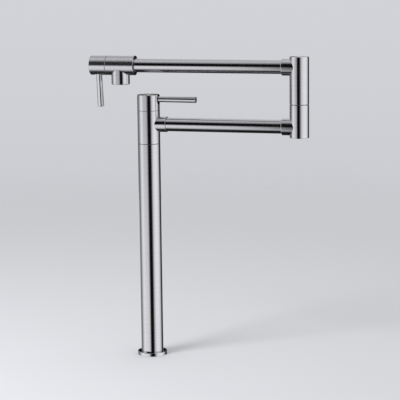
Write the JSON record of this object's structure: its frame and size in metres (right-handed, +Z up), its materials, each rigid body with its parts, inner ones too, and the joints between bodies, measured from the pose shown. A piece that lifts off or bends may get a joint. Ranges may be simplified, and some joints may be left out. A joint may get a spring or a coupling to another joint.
{
  "type": "deck-mounted pot filler",
  "caption": "Tall deck-mounted pot filler tap: a round column carries a folding double-jointed arm with a quarter-turn lever valve at the column and at the spout.",
  "frame": {"origin": "centre of the base flange's underside, on the deck's surface and on the column's axis", "axes": "+Z up along the column, +X along the folded arms from the column towards the elbow, +Y away from the user"},
  "size_m": [0.447, 0.06, 0.6932],
  "materials": {
    "brushed_steel": "stainless steel, brushed round the circumference",
    "plain_steel": "plain stainless steel",
    "turned_brass": "turned brass",
    "seal_rubber": "moulded NBR rubber",
    "acetal": "black acetal",
    "alumina": "lapped alumina",
    "copper": "drawn copper tube",
    "grille_plastic": "moulded acetal"
  },
  "bodies": {
    "base": {"base_flange": "brushed_steel", "base_gasket": "seal_rubber", "column_tube": "brushed_steel", "mounting_shank": "turned_brass", "inlet_connector": "turned_brass", "inlet_seal": "seal_rubber", "riser_pipe": "copper", "riser_seals": "seal_rubber", "base_swivel_post": "turned_brass", "base_swivel_seals": "seal_rubber", "base_retaining_ring": "acetal", "base_thrust_washer": "acetal", "mounting_nut": "turned_brass", "steel_washer": "plain_steel", "rubber_washer": "seal_rubber"},
    "lower_arm": {"swivel_tee": "brushed_steel", "lower_arm_tube": "brushed_steel", "lower_arm_seals": "seal_rubber", "lower_elbow": "brushed_steel", "elbow_swivel_post": "turned_brass", "elbow_swivel_seals": "seal_rubber", "elbow_retaining_ring": "acetal", "elbow_thrust_washer": "acetal", "main_valve_body": "turned_brass", "main_valve_seal": "seal_rubber", "main_seat_seal": "seal_rubber", "main_fixed_disc": "alumina"},
    "main_handle": {"main_handle_cap": "brushed_steel", "main_lever": "brushed_steel", "main_set_screw": "plain_steel", "main_spindle": "turned_brass", "main_turning_disc": "alumina", "main_stem_seals": "seal_rubber", "main_spindle_clip": "plain_steel"},
    "upper_arm": {"upper_elbow": "brushed_steel", "upper_arm_tube": "brushed_steel", "upper_arm_seals": "seal_rubber", "spout_head": "brushed_steel", "spout_valve_body": "turned_brass", "spout_valve_seal": "seal_rubber", "spout_seat_seal": "seal_rubber", "spout_fixed_disc": "alumina", "aerator_housing": "plain_steel", "aerator_insert": "grille_plastic", "aerator_seal": "seal_rubber"},
    "spout_handle": {"spout_handle_cap": "brushed_steel", "spout_lever": "brushed_steel", "spout_set_screw": "plain_steel", "spout_spindle": "turned_brass", "spout_turning_disc": "alumina", "spout_stem_seals": "seal_rubber", "spout_spindle_clip": "plain_steel"}
  },
  "joints": [
    {"name": "base_swivel", "type": "hinge", "parent": "base", "child": "lower_arm", "pos_m": [0, 0, 0.4338], "axis": [0, 0, 1], "continuous": true},
    {"name": "elbow_swivel", "type": "hinge", "parent": "lower_arm", "child": "upper_arm", "pos_m": [0.309, 0, 0.517], "axis": [0, 0, 1], "continuous": true},
    {"name": "main_valve", "type": "hinge", "parent": "lower_arm", "child": "main_handle", "pos_m": [0, 0, 0.5], "axis": [0, 0, -1], "range_deg": [0, 90]},
    {"name": "spout_valve", "type": "hinge", "parent": "upper_arm", "child": "spout_handle", "pos_m": [-0.085, 0, 0.5895], "axis": [-1, 0, 0], "range_deg": [0, 90]}
  ]
}
